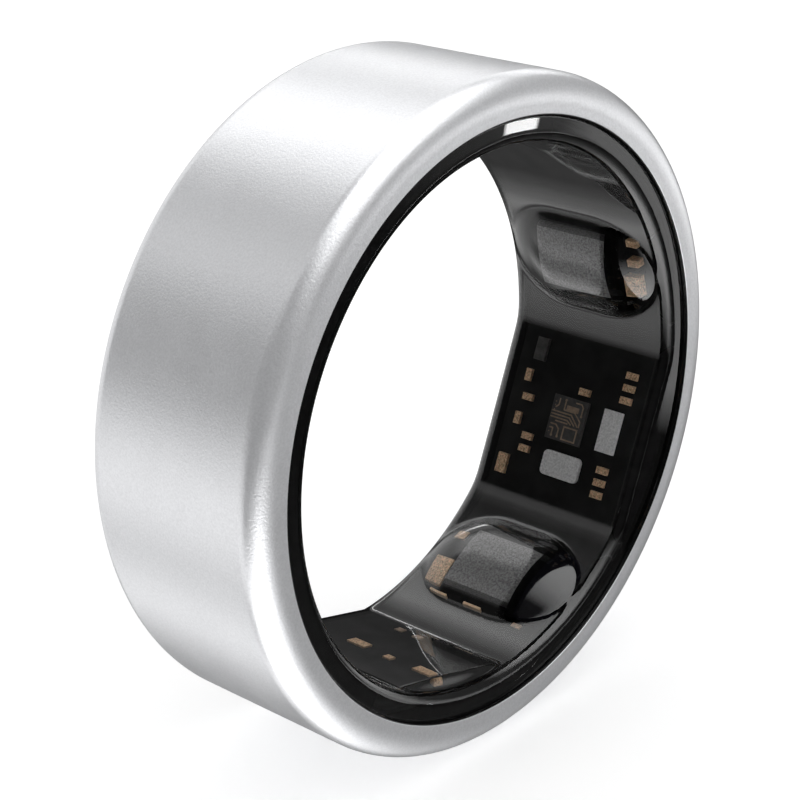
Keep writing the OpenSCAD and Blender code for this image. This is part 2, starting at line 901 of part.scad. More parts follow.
module charging_coil() {
    color([0.72, 0.45, 0.25])
        polyhedron(coil_points, coil_faces);
}

module coil_ferrite() {
    color([0.2, 0.2, 0.22])
        tube_part(board_r + seam, board_r + board_t, board_half - seam, coil_start, coil_stop);
}

// One pad at each end of the winding
module coil_pads() {
    color([0.8, 0.6, 0.4])
        for (place = [coil_inner_end - [0, coil_pad_l / 2], coil_outer_end + [0, coil_pad_l / 2]])
            rotate([0, 0, coil_mid + 180 * place[0] / (PI * coil_r)])
                translate([board_r - wire_d, -coil_pad_w / 2, place[1] - coil_pad_l / 2])
                    cube([wire_d, coil_pad_w, coil_pad_l]);
}

module antenna_space() {
    tube_part(antenna_r - overrun, antenna_r + antenna_t + seam, tail_half, antenna_start - seam_turn,
        antenna_start + antenna_arc_angle + seam_turn);
}

module antenna() {
    color([0.75, 0.5, 0.3]) {
        for (i = [0:antenna_link_count])
            translate([0, 0, (i - antenna_link_count / 2) * antenna_row_step])
                tube_part(antenna_r, antenna_r + antenna_t, antenna_strip / 2, antenna_start,
                    antenna_start + antenna_arc_angle);
        for (i = [0:antenna_link_count - 1])
            translate([0, 0, (i - (antenna_link_count - 1) / 2) * antenna_row_step])
                tube_part(antenna_r, antenna_r + antenna_t, (antenna_row_step + antenna_strip) / 2,
                    antenna_start + (i % 2) * (antenna_arc_angle - antenna_link_angle),
                    antenna_start + (i % 2) * (antenna_arc_angle - antenna_link_angle) + antenna_link_angle);
    }
}

rotate([90, 0, 0]) {
    outer_shell();
    insulating_film();
    inner_moulding();
    black_liner();
    back_potting();
    flex_board();
    board_stiffener();
    power_chip();
    processor_chip();
    chip_traces();
    crystal_can();
    memory_chip();
    motion_sensor();
    large_capacitor();
    rear_passives();
    chip_resistor();
    front_passives();
    charger_inductors();
    charger_resistor();
    charger_capacitors();
    photodiode_upper();
    photodiode_lower();
    light_barrier_upper();
    light_barrier_lower();
    leds_upper();
    filter_lower();
    emitter_pads_lower();
    contact_bars();
    temperature_sensor();
    battery_cell();
    battery_tabs();
    protection_board();
    protection_chips();
    charging_coil();
    coil_ferrite();
    coil_pads();
    antenna();
}
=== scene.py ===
"""A smart ring on a pale floor: satin shell, dark see-through lining, board, sensors and winding."""

import json
import math

import bmesh
import bpy
import numpy as np
from bpy.props import FloatProperty, FloatVectorProperty, IntProperty, PointerProperty
from mathutils import Matrix, Vector


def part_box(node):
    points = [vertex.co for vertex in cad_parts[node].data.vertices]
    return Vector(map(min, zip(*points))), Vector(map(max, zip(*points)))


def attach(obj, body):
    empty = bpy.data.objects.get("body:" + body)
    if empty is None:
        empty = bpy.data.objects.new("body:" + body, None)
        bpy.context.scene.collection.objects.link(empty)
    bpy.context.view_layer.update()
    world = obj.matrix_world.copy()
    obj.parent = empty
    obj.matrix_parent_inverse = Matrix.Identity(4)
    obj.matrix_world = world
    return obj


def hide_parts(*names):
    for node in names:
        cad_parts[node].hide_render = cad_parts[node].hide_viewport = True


bl_info = {
    "name": "Smart Ring",
    "version": (1, 0, 0),
    "blender": (4, 5, 0),
    "location": "View3D > Sidebar > Ring",
    "description": "Builds a smart ring around its packed solids, with its finishes and its stage",
    "category": "Object",
}

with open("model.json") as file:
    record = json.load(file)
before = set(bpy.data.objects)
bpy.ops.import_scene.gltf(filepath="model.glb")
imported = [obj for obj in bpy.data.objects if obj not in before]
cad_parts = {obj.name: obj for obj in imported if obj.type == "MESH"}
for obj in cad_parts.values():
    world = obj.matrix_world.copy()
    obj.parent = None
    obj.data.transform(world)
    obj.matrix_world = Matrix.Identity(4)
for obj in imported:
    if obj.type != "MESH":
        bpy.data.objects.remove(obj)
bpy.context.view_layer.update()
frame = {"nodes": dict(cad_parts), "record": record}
nodes = frame["nodes"]
shell_low, shell_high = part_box("outer_shell")
MM = 0.001
QUARTER = math.pi / 2
FULL_TURN = 2 * math.pi
MERGE = 1e-7  # points closer than this, in metres, become one


# Sizes and colours that a user would change

def length(name, text, default):
    return FloatProperty(name=name, description=text, default=default, unit="LENGTH", subtype="DISTANCE",
                         precision=6)


def angle(name, text, degrees):
    return FloatProperty(name=name, description=text, default=math.radians(degrees), subtype="ANGLE")


def colour(name, text, default):
    return FloatVectorProperty(name=name, description=text, default=default, size=3, min=0, max=1,
                               subtype="COLOR")


class ShellSizes(bpy.types.PropertyGroup):
    outer_r: length("Outer radius", "Radius of the shell's outside", shell_high.z)
    half_w: length("Half width", "Half of the ring's width along the finger", shell_high.y)
    face_inner_r: length("Face inner radius", "Inner radius of the metal face", 10.8 * MM)
    shoulder_reach: length("Shoulder reach", "Radial reach of the rounded shoulder", 1.05 * MM)
    shoulder_depth: length("Shoulder depth", "Axial depth of the rounded shoulder", 0.78 * MM)
    edge_r: length("Inner edge", "Radius of the metal face's inner edge", 0.02 * MM)
    wall: length("Wall", "Wall of the shell", 0.5 * MM)
    flange: length("Flange", "Thickness of the flange at each end", 0.5 * MM)
    # The collars are black rings of painted shade, in place of the shadow in the gap between the metal face
    # and the resin's face
    shade_collar_w: length("Collar width", "Width of the black collar inside the metal face", 0.035 * MM)
    shade_collar_r: length("Collar edge", "Radius of the collar's rounded edge", 0.01 * MM)
    shade_collar_drop: length("Collar drop", "From the metal face down to the collar", 0.01 * MM)
    columns: IntProperty(name="Columns", description="Faces round the shell", default=360, min=48)


class LiningSizes(bpy.types.PropertyGroup):
    bore_r: length("Bore radius", "Radius of the bore", 9.77 * MM)
    face_y: length("Face", "From the middle of the ring to the resin's face", 3.797 * MM)
    lip_r: length("Front lip", "Radius of the lip at the front of the bore", 0.41 * MM)
    rear_lip_r: length("Rear lip", "Radius of the lip at the rear of the bore", 0.75 * MM)
    back_r: length("Back radius", "Where the resin ends inside the board", 10.62 * MM)
    side_r: length("Side radius", "Where the resin ends inside the black film", 10.77 * MM)
    side_y: length("Side", "Where the resin steps past the side of the board", 3.07 * MM)
    window_angle: angle("Window angle", "Middle of the chip window", -22)
    window_d: length("Window distance", "From the axis to the chip window", 9.195 * MM)
    window_round: length("Window rounding", "Rounding at the ends of the chip window", 2.5 * MM)
    charger_angle: angle("Charger angle", "Middle of the charger flat", -103)
    charger_d: length("Charger distance", "From the axis to the charger flat", 9.352 * MM)
    charger_round: length("Charger rounding", "Rounding at the ends of the charger flat", 1.0 * MM)
    upper_angle: angle("Upper bump angle", "Middle of the upper sensor bump", 17.8)
    lower_angle: angle("Lower bump angle", "Middle of the lower sensor bump", -61.8)
    bump_r: length("Bump radius", "Radius of the round top of a bump", 3.876 * MM)
    bump_axis: length("Bump axis", "From the ring's axis to the bump's", 12.726 * MM)
    bump_straight: length("Bump straight", "Half of the straight part of a bump", 0.847 * MM)
    bump_blend: length("Bump blend", "Width of the soft edge at a bump's foot", 0.15 * MM)
    columns: IntProperty(name="Columns", description="Faces round the bore", default=720, min=96)
    flat_front: length("Charger flat's front", "Where the charger flat starts to turn down to the front lip",
                       -3.14 * MM)
    row_step: length("Row step", "Length of a face along the bore", 0.09 * MM)


class WindingSizes(bpy.types.PropertyGroup):
    middle: angle("Middle", "Angle of the winding's middle", 96.8)
    radius: length("Radius", "Radius on which the winding lies", 10.45 * MM)
    wire_d: length("Wire", "Diameter of the winding's conductor", 0.16 * MM)
    pitch: length("Pitch", "From one turn to the next, round the bore", 0.64 * MM)
    side_pitch: length("Side pitch", "From one turn to the next, along the bore", 0.6427 * MM)
    inner_l: length("Inner length", "Half of the first turn, round the bore", 0.62 * MM)
    inner_w: length("Inner width", "Half of the first turn, along the bore", 0.54 * MM)
    turns: IntProperty(name="Turns", description="Turns of the winding", default=4, min=1)
    points: IntProperty(name="Points", description="Points of a turn", default=48, min=12)


class RingColours(bpy.types.PropertyGroup):
    metal: colour("Metal", "Satin titanium", (0.7, 0.705, 0.722))
    resin: colour("Resin", "Tint of the see-through lining", (0.8, 0.8, 0.8))
    black: colour("Black", "Film, walls and potting", (0.012, 0.012, 0.012))
    board: colour("Board", "Solder mask of the board", (0.012, 0.012, 0.012))
    package: colour("Package", "Dark chip package", (0.09, 0.088, 0.085))
    silver: colour("Silver", "Metal lids of the light chips", (0.85, 0.85, 0.85))
    copper: colour("Copper", "Ends of the small blocks", (0.82, 0.52, 0.32))
    trace: colour("Trace", "Tracks on the chip", (0.34, 0.25, 0.18))
    sensor: colour("Sensor", "Grained grey slabs", (0.16, 0.16, 0.16))
    gold: colour("Gold", "Contact bars and pads", (0.95, 0.7, 0.46))
    floor: colour("Floor", "Pale floor", (0.9, 0.9, 0.9))


class ViewSettings(bpy.types.PropertyGroup):
    place: FloatVectorProperty(name="Camera", description="Where the camera stands", size=3,
                               default=(-0.051204, -0.044652, 0.027060), subtype="TRANSLATION", precision=6)
    right: FloatVectorProperty(name="Right", description="The camera's right", size=3,
                               default=(0.66579, -0.74614, 0), subtype="DIRECTION", precision=6)
    up: FloatVectorProperty(name="Up", description="The camera's up", size=3,
                            default=(0.27665, 0.24686, 0.92872), subtype="DIRECTION", precision=6)
    lens: FloatProperty(name="Lens", description="Focal length in millimetres", default=92.53, min=1)


# Shader maths: an expression on values adds its nodes

NOISE_LOW, NOISE_HIGH = 0.3, 0.7  # the range in which a noise mostly stays


class Value:
    """A number or colour that changes over a surface, as a node's output socket."""

    def __init__(self, finish, socket):
        self.finish = finish
        self.socket = socket

    def math(self, operation, other):
        return self.finish.node("ShaderNodeMath", {"operation": operation}, {0: self, 1: other})

    def __add__(self, other):
        return self.math("ADD", other)

    def __mul__(self, other):
        return self.math("MULTIPLY", other)

    def __truediv__(self, other):
        return self.math("DIVIDE", other)


class Finish:
    """The nodes of one material, or of the world."""

    def __init__(self, owner):
        self.owner = owner
        owner.use_nodes = True
        self.tree = owner.node_tree
        self.tree.nodes.clear()

    def node(self, kind, settings=None, sockets=None, out=0):
        """Adds a node with its settings, then the values or links of its sockets, and gives an output."""
        made = self.tree.nodes.new(kind)
        for key, setting in (settings or {}).items():
            if key == "stops":
                ramp = made.color_ramp
                while len(ramp.elements) < len(setting):
                    ramp.elements.new(1)
                for stop, (place, level) in zip(ramp.elements, setting):
                    stop.position = place
                    stop.color = (level, level, level, 1)
            else:
                setattr(made, key, setting)
        for key, item in (sockets or {}).items():
            socket = made.inputs[key]
            if isinstance(item, Value):
                self.tree.links.new(item.socket, socket)
            elif isinstance(item, tuple):
                socket.default_value = (*item, 1)
            else:
                socket.default_value = item
        return Value(self, made.outputs[out])

    def noise(self, scale, detail, roughness):
        where = self.node("ShaderNodeTexCoord", out="Object")
        return self.node("ShaderNodeTexNoise", None,
                         {"Vector": where, "Scale": scale, "Detail": detail, "Roughness": roughness})

    def spread(self, value, low, high, to_low=0.0, to_high=1.0, smooth=False):
        """Stretches the values from low to high over the range from to_low to to_high."""
        sockets = {"Value": value, "From Min": low, "From Max": high, "To Min": to_low, "To Max": to_high}
        return self.node("ShaderNodeMapRange", {"interpolation_type": "SMOOTHSTEP" if smooth else "LINEAR"},
                         sockets)

    def inside(self, value, start, full, last, end):
        """One from full to last, fading to zero at start and end."""
        return self.spread(value, start, full) * self.spread(value, end, last)

    def mix(self, factor, first, second):
        return self.node("ShaderNodeMix", {"data_type": "RGBA"}, {0: factor, 6: first, 7: second}, 2)

    def toned(self, noise, tint, low, high, start=NOISE_LOW, end=NOISE_HIGH):
        """The tint, from low to high times as bright, as the noise goes from start to end."""
        return self.mix(self.spread(noise, start, end), shade(tint, low), shade(tint, high))

    def bump(self, height, strength, distance):
        return self.node("ShaderNodeBump", None,
                         {"Height": height, "Strength": strength, "Distance": distance})

    def surface(self, **sockets):
        """A Principled shader, with each socket's spaces written as underscores."""
        return self.node("ShaderNodeBsdfPrincipled", None,
                         {key.replace("_", " "): item for key, item in sockets.items()})

    def background(self, tint, strength):
        return self.node("ShaderNodeBackground", None, {"Color": tint, "Strength": strength})

    def seen_by(self, ray):
        return self.node("ShaderNodeLightPath", out=f"Is {ray} Ray")

    def choice(self, factor, first, second):
        return self.node("ShaderNodeMixShader", None, {0: factor, 1: first, 2: second})

    def done(self, shader):
        of_world = isinstance(self.owner, bpy.types.World)
        output = self.tree.nodes.new("ShaderNodeOutputWorld" if of_world else "ShaderNodeOutputMaterial")
        self.tree.links.new(shader.socket, output.inputs["Surface"])


def finish(name):
    return Finish(bpy.data.materials.new(name))


def shade(tint, factor):
    return tuple(min(1.0, part * factor) for part in tint)


def satin_metal(tint):
    f = finish("shell_titanium")
    grain = f.noise(13000, 3, 0.6)
    cloud = f.noise(900, 2, 0.5)
    rough = f.spread(cloud, NOISE_LOW, NOISE_HIGH, 0.29, 0.33)
    f.done(f.surface(Base_Color=f.toned(grain, tint, 0.93, 1.07), Metallic=0.6, Roughness=rough,
                     Specular_IOR_Level=0.2, Normal=f.bump(grain, 0.38, 0.02 * MM)))


def clear_resin(tint):
    """Tinted glass whose shadow lets the light through, so that the pieces in it aren't in the dark."""
    f = finish("tinted_resin")
    wave = f.noise(160, 1, 0.4)
    body = f.surface(Base_Color=tint, Roughness=0.0, IOR=1.5, Transmission_Weight=1.0,
                     Normal=f.bump(wave, 0.03, 0.4 * MM))
    through = f.node("ShaderNodeBsdfTransparent", None, {"Color": tint})
    f.done(f.choice(f.seen_by("Shadow"), body, through))


def matt(name, tint, grain, low, high, rough):
    """A dull finish, whose brightness and roughness follow its grain."""
    f = finish(name)
    speckle = f.noise(grain, 4, 0.6)
    f.done(f.surface(Base_Color=f.toned(speckle, tint, low, high),
                     Roughness=f.spread(speckle, NOISE_LOW, NOISE_HIGH, rough - 0.08, rough + 0.08),
                     Specular_IOR_Level=0.0, Normal=f.bump(speckle, 0.05, 0.01 * MM)))


def glossy_painted_shade(tint):
    """The collars' painted shade: the film's black under a skin of resin, which makes it glossy."""
    f = finish("glossy_painted_shade")
    grain = f.noise(3000, 4, 0.6)
    f.done(f.surface(Base_Color=f.toned(grain, tint, 0.25, 0.5), Roughness=0.5, Specular_IOR_Level=0.0,
                     Coat_Weight=1.0, Coat_Roughness=0.04))


def board_mask(tint):
    f = finish("board_black")
    weave = f.noise(2600, 3, 0.5)
    blotch = f.noise(700, 2, 0.5)
    f.done(f.surface(Base_Color=f.toned(blotch, tint, 0.7, 1.5, start=0.35),
                     Roughness=f.spread(weave, NOISE_LOW, NOISE_HIGH, 0.4, 0.55),
                     Specular_IOR_Level=0.0, Normal=f.bump(weave, 0.05, 0.01 * MM)))


PLAIN_RELIEF = 0.35  # strength of the grain of a metal that isn't specially rough


def metal(name, tint, grain, low, high, rough=0.35, metallic=1.0, speck=0.0, relief=PLAIN_RELIEF):
    """A grained metal: speck is the strength of its light dots, and relief that of its grain."""
    f = finish(name)
    speckle = f.noise(grain, 1.5, 0.6)
    tone = f.toned(speckle, tint, low, high, start=0.32, end=0.68)
    if speck:
        dots = f.spread(f.noise(grain * 1.7, 2, 0.6), 0.56, 0.66)
        tone = f.mix(dots * speck, tone, shade(tint, 1.8))
    depth = (0.02 + 0.04 * (relief - PLAIN_RELIEF)) * MM
    f.done(f.surface(Base_Color=tone, Metallic=metallic,
                     Roughness=f.spread(speckle, NOISE_LOW, NOISE_HIGH, rough - 0.08, rough + 0.1),
                     Normal=f.bump(speckle, relief, depth)))


def finishes(c):
    """Makes a finish for each material slot in the record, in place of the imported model's plain ones."""
    for plain in list(bpy.data.materials):
        bpy.data.materials.remove(plain)
    satin_metal(c.metal)
    clear_resin(tuple(c.resin))
    # Glossy black of the collars, which paints the shade in the gap between metal and resin
    glossy_painted_shade(c.black)
    board_mask(c.board)
    matt("film_black", c.black, grain=3000, low=0.25, high=0.5, rough=0.55)
    matt("potting_black", c.black, grain=1800, low=0.35, high=0.75, rough=0.7)
    matt("package_black", (0.02, 0.02, 0.02), grain=4000, low=0.7, high=1.4, rough=0.5)
    matt("package_grey", c.package, grain=5000, low=0.8, high=1.25, rough=0.45)
    matt("filter_dark", (0.006, 0.006, 0.008), grain=2500, low=0.8, high=1.2, rough=0.15)
    matt("cell_foil", (0.012, 0.012, 0.013), grain=1500, low=0.8, high=1.3, rough=0.6)
    matt("ferrite_grey", (0.05, 0.05, 0.055), grain=3000, low=0.8, high=1.2, rough=0.7)
    metal("stiffener_steel", (0.5, 0.5, 0.51), grain=2500, low=0.8, high=1.1)
    metal("trace_copper", c.trace, grain=9000, low=0.8, high=1.2, rough=0.45, metallic=0.2)
    metal("can_silver", c.silver, grain=12000, low=0.8, high=1.15, rough=0.45, metallic=0.2)
    metal("terminal_copper", c.copper, grain=13000, low=0.35, high=1.15, rough=0.4, metallic=0.25, speck=0.7,
          relief=0.9)
    metal("sensor_grey", c.sensor, grain=14000, low=0.5, high=1.6, rough=0.38, metallic=0.55, relief=1.0)
    metal("contact_gold", c.gold, grain=9000, low=0.9, high=1.05, rough=0.4, metallic=0.1)
    metal("winding_copper", (0.6, 0.3, 0.15), grain=2500, low=0.8, high=1.1, rough=0.3)


def dress(names):
    """Gives CAD nodes the finish of their material slot in the record."""
    slots = {part["node"]: part["material_slot"] for part in frame["record"]["subparts"]}
    for name in names:
        mesh = nodes[name].data
        mesh.materials.clear()
        mesh.materials.append(bpy.data.materials[slots[name]])


# Modelling

def mended(bm):
    """Merges the doubles of a closed shape, and points its faces outwards."""
    bmesh.ops.remove_doubles(bm, verts=bm.verts, dist=MERGE)
    bmesh.ops.recalc_face_normals(bm, faces=bm.faces)
    if bm.calc_volume(signed=True) < 0:
        bmesh.ops.reverse_faces(bm, faces=bm.faces)


def spun(profile, columns):
    """A closed outline of (radius, place along the bore), spun once round the bore."""
    bm = bmesh.new()
    verts = [bm.verts.new((r, y, 0)) for r, y in profile]
    edges = [bm.edges.new((verts[i - 1], verts[i])) for i in range(len(verts))]
    sectors = 8
    sector = FULL_TURN / sectors
    bmesh.ops.spin(bm, geom=verts + edges, cent=(0, 0, 0), axis=(0, 1, 0), angle=sector,
                   steps=columns // sectors, use_merge=False, use_duplicate=False)
    bmesh.ops.spin(bm, geom=bm.verts[:] + bm.edges[:] + bm.faces[:], cent=(0, 0, 0), axis=(0, 1, 0),
                   angle=FULL_TURN - sector, steps=sectors - 1, use_merge=False, use_duplicate=True)
    mended(bm)
    return bm


def placed(name, bm, slot, replaced=(), finish_name=None):
    """Makes a piece of the object from a mesh, with the finish of its slot or one of its own."""
    mesh = bpy.data.meshes.new(name)
    bm.to_mesh(mesh)
    bm.free()
    mesh.shade_smooth()
    mesh.materials.append(bpy.data.materials[finish_name or slot])
    piece = bpy.data.objects.new(name, mesh)
    bpy.context.scene.collection.objects.link(piece)
    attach(piece, "root")
    if replaced:
        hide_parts(*replaced)
    return piece


# Beside each corner, a face one guard wide keeps the smooth shading of the flat faces level

def shell_outline(s):
    """Half of the shell's outline, from its inner edge over the face and the shoulder."""
    guard = 0.012 * MM
    edge_steps, shoulder_steps = 6, 24
    shoulder_r = s.outer_r - s.shoulder_reach
    points = []
    for i in range(edge_steps + 1):
        turn = QUARTER * i / edge_steps
        points.append((s.face_inner_r + s.edge_r * (1 - math.cos(turn)),
                       s.half_w - s.edge_r * (1 - math.sin(turn))))
    points += [(points[-1][0] + guard, s.half_w), (shoulder_r - guard, s.half_w)]
    for i in range(shoulder_steps + 1):
        turn = QUARTER * i / shoulder_steps
        points.append((shoulder_r + s.shoulder_reach * math.sin(turn),
                       s.half_w - s.shoulder_depth * (1 - math.cos(turn))))
    points.append((s.outer_r, s.half_w - s.shoulder_depth - guard))
    return points


def build_shell(s):
    front = shell_outline(s)
    guard = 0.01 * MM
    inner_y = s.half_w - s.flange
    inner_r = s.outer_r - s.wall
    flange_back = [(s.face_inner_r, inner_y + guard), (s.face_inner_r, inner_y),
                   (s.face_inner_r + guard, inner_y), (inner_r, inner_y)]
    outline = [(r, -y) for r, y in front]
    outline += [(s.outer_r, share * s.half_w) for share in (-0.5, 0.0, 0.5)]
    outline += list(reversed(front)) + flange_back + [(r, -y) for r, y in reversed(flange_back)]
    placed("shell", spun(outline, s.columns), "shell_titanium", ["outer_shell"])


def build_shade_collars(s, depth):
    """Black rings that stand between the metal face and the resin's face, one at each end: painted shade, in
    place of the shadow in the gap between the two faces.
    """
    guard = 0.004 * MM
    bevel = 0.3 * s.shade_collar_r
    inner = s.face_inner_r - s.shade_collar_w
    for name, side in (("front_shade_collar", -1), ("rear_shade_collar", 1)):
        top, bottom = side * (s.half_w - s.shade_collar_drop), side * (s.half_w - depth)
        outline = [(inner, bottom), (inner, bottom + side * guard),
                   (inner, top - side * (s.shade_collar_r + guard)), (inner, top - side * s.shade_collar_r),
                   (inner + bevel, top - side * bevel), (inner + s.shade_collar_r, top),
                   (inner + s.shade_collar_r + guard, top), (s.face_inner_r, top), (s.face_inner_r, bottom)]
        # Each collar is painted shade: a black ring where the gap between metal and resin lies in shadow
        placed(name, spun(outline, s.columns), "film_black", finish_name="glossy_painted_shade")


def lip_outline(s, lip):
    """Outline of the resin's face and of the round lip inside it, as at the rear end."""
    face_steps, lip_steps = 5, 14
    face = [(s.side_r + (s.bore_r + lip - s.side_r) * i / face_steps, s.face_y) for i in range(face_steps)]
    turns = (QUARTER * i / lip_steps for i in range(lip_steps + 1))
    return face + [(s.bore_r + lip * (1 - math.sin(turn)), s.face_y - lip * (1 - math.cos(turn)))
                   for turn in turns]


def lining_outline(s):
    """The resin's outline: the two faces, the lips, the bore and the back."""
    guard = 0.005 * MM
    start, stop = s.lip_r - s.face_y, s.face_y - s.rear_lip_r
    turned_rows = 8
    rows = round((stop - s.flat_front) / s.row_step)
    bore = [(s.bore_r, start + (s.flat_front - start) * i / turned_rows) for i in range(1, turned_rows + 1)]
    bore += [(s.bore_r, s.flat_front + (stop - s.flat_front) * i / rows) for i in range(1, rows)]
    back = [(s.side_r, s.side_y + guard), (s.back_r, s.side_y), (s.back_r, 0), (s.back_r, -s.side_y),
            (s.side_r, -s.side_y - guard)]
    front = [(r, -y) for r, y in lip_outline(s, s.lip_r)]
    return front + bore + list(reversed(lip_outline(s, s.rear_lip_r))) + back


def wrapped(turn):
    """Size of an angle, once whole turns are taken off."""
    return np.abs((turn + math.pi) % FULL_TURN - math.pi)


def flat_r(theta, middle, d, rounding, bore_r):
    """Radius of the bore with a flat at distance d, whose ends are rounded."""
    away = wrapped(theta - middle)
    centre_r = bore_r - rounding
    end = math.acos((d - rounding) / centre_r)
    start = math.atan(centre_r * math.sin(end) / d)
    lean = centre_r * np.cos(away - end)
    arc = lean + np.sqrt(np.maximum(lean ** 2 - centre_r ** 2 + rounding ** 2, 0))
    plain = d / np.cos(np.minimum(away, start))
    return np.where(away < start, plain, np.where(away < end, arc, bore_r))


def bump_field(radius, theta, y, middle, s):
    """Distance from a point to the surface of a bump, less than zero inside it."""
    off = theta - middle
    along = np.maximum(np.abs(y) - s.bump_straight, 0)
    dx = radius * np.cos(off) - s.bump_axis
    dz = radius * np.sin(off)
    return np.sqrt(dx ** 2 + dz ** 2 + along ** 2) - s.bump_r


def with_bumps(theta, y, base, s):
    """Radius of the lining's surface once the bumps rise from it, with a soft edge at their foot.

    It is found by halving the range between a radius inside every bump and that of the plain bore.
    """
    innermost, halvings = 8.4 * MM, 26
    low = np.full_like(base, innermost)
    high = base.copy()
    for _ in range(halvings):
        middle = (low + high) / 2
        field = base - middle
        for bump_angle in (s.upper_angle, s.lower_angle):
            other = bump_field(middle, theta, y, bump_angle, s)
            soft = np.maximum(s.bump_blend - np.abs(field - other), 0) / s.bump_blend
            field = np.minimum(field, other) - soft ** 2 * s.bump_blend / 4
        low = np.where(field > 0, middle, low)
        high = np.where(field > 0, high, middle)
    return (low + high) / 2


def closer_columns(theta, s):
    """Moves the columns of the lining closer together round the bumps and the charger flat's creases."""
    bump_half, bump_gain = math.radians(15), 1.7
    crease_half, crease_gain = math.radians(1.6), 3
    crease = math.radians(17)
    fade, grid_points = math.radians(1.5), 3601
    grid = np.linspace(-math.pi, math.pi, grid_points)
    weight = np.ones_like(grid)
    for middle, half, gain in ((s.upper_angle, bump_half, bump_gain), (s.lower_angle, bump_half, bump_gain),
                               (s.charger_angle + crease, crease_half, crease_gain),
                               (s.charger_angle - crease, crease_half, crease_gain)):
        weight += gain * np.clip((half - wrapped(grid - middle)) / fade + 0.5, 0, 1)
    total = np.concatenate([[0], np.cumsum((weight[1:] + weight[:-1]) / 2)])
    total = total / total[-1] * FULL_TURN - math.pi
    return np.interp(theta, total, grid)


def build_lining(s):
    mesh = placed("lining", spun(lining_outline(s), s.columns), "tinted_resin", ["inner_moulding"]).data
    co = np.empty(len(mesh.vertices) * 3)
    mesh.vertices.foreach_get("co", co)
    co = co.reshape(-1, 3)
    radius = np.hypot(co[:, 0], co[:, 2])
    theta = closer_columns(np.arctan2(co[:, 2], co[:, 0]), s)
    y = co[:, 1]
    base = flat_r(theta, s.window_angle, s.window_d, s.window_round, s.bore_r)
    charger = flat_r(theta, s.charger_angle, s.charger_d, s.charger_round, s.bore_r)
    turned = np.clip((s.flat_front - y) / (s.flat_front - s.lip_r + s.face_y), 0, 1)
    base = np.minimum(base, charger + (s.bore_r - charger) * turned ** 2 * (3 - 2 * turned))
    inside = with_bumps(theta, y, base, s)
    # The shift fades out over each face, and the back stays round
    lip_top = s.bore_r + np.where(y < 0, s.lip_r, s.rear_lip_r)
    fade = np.clip((s.side_r - radius) / (s.side_r - lip_top), 0, 1)
    near = 0.01 * MM
    fade = np.where((np.abs(y) < s.side_y + near) & (radius > s.back_r - near), 0, fade)
    radius = radius + (inside - s.bore_r) * fade
    co[:, 0] = radius * np.cos(theta)
    co[:, 2] = radius * np.sin(theta)
    mesh.vertices.foreach_set("co", co.ravel())
    mesh.update()


def winding_path(s):
    """The winding's middle line: an oval spiral wrapped on a cylinder, with a straight end at each pad."""
    flat = []
    for i in range(s.turns * s.points + 1):
        turns = i / s.points
        turn = FULL_TURN * turns
        flat.append(((s.inner_l + s.pitch * turns) * math.cos(turn),
                     (s.inner_w + s.side_pitch * turns) * math.sin(turn)))
    flat.insert(0, (flat[0][0], flat[0][1] - s.wire_d))
    flat.append((flat[-1][0], flat[-1][1] + s.wire_d))
    path = []
    for along, side in flat:
        turn = s.middle + along / s.radius
        path.append((s.radius * math.cos(turn), -side, s.radius * math.sin(turn)))
    return path


def build_winding(s):
    curve = bpy.data.curves.new("winding_line", "CURVE")
    curve.dimensions = "3D"
    line = curve.splines.new("POLY")
    path = winding_path(s)
    line.points.add(len(path) - 1)
    for point, place in zip(line.points, path):
        point.co = (*place, 1)
    curve.bevel_depth = s.wire_d / 2
    curve.bevel_resolution = 2
    curve.use_fill_caps = True
    guide = bpy.data.objects.new("winding_line", curve)
    mesh = bpy.data.meshes.new_from_object(guide)
    bpy.data.objects.remove(guide)
    bpy.data.curves.remove(curve)
    bm = bmesh.new()
    bm.from_mesh(mesh)
    bpy.data.meshes.remove(mesh)
    mended(bm)
    placed("winding", bm, "winding_copper", ["charging_coil"])


# Stage

def build_camera(v):
    camera = bpy.data.objects.new("camera", bpy.data.cameras.new("camera"))
    bpy.context.scene.collection.objects.link(camera)
    right, up = Vector(v.right).normalized(), Vector(v.up).normalized()
    turn = Matrix((right, up, right.cross(up))).transposed().to_4x4()
    camera.matrix_world = Matrix.Translation(Vector(v.place)) @ turn
    camera.data.lens = v.lens
    camera.data.sensor_width = 36
    camera.data.clip_start = 0.001
    bpy.context.scene.camera = camera


# What glossy surfaces see of the studio, behind the ring and in front of it, where 1 is the level of the
# plain white: (angle round the bore's axis, level). Zero is level on the right, 90 the top, -90 the bottom.
# A ramp takes 32 stops at most
REAR = [(-180, 0.25), (-176, 0.45), (-166, 1.2), (-158, 1.2), (-147, 1.5), (-138, 1.45), (-131, 0.6),
        (-120, 0.6), (-112, 1.2), (-100, 1.9), (-93, 1.0), (-84, 0.45), (-75, 0.2), (-50, 0.1), (-25, 0.02),
        (5, 0.02), (11, 0.1), (14, 0.5), (24, 0.6), (26.5, 4.5), (29.5, 4.5), (32, 0.7), (41, 0.7), (47, 0.5),
        (53, 1.2), (59, 2.2), (86, 2.0), (96, 0.45), (116, 0.25), (127, 0.85), (138, 0.8), (144, 0.05)]
FRONT = [(-180, 0.05), (-155, 0.05), (-147, 0.9), (-138, 2.2), (-124, 3.6), (-110, 4.6), (-95, 4.0),
         (-84, 3.0), (-78, 1.9), (-70, 1.3), (-62, 0.6), (-52, 0.25), (-30, 0.03), (-22, 0.05), (-17, 0.5),
         (-10, 1.7), (-2, 1.5), (4, 0.8), (10, 0.25), (40, 0.25), (46, 1.3), (60, 3.8), (80, 3.8), (95, 3.2),
         (112, 1.8), (124, 0.1), (180, 0.05)]
STUDIO_TOP = 8.0  # the level that a ramp's white stands for
BEYOND = 1.04  # level of what lies far behind the ring, along its bore
PLAIN_LIGHT = 0.95  # level of the light on dull surfaces

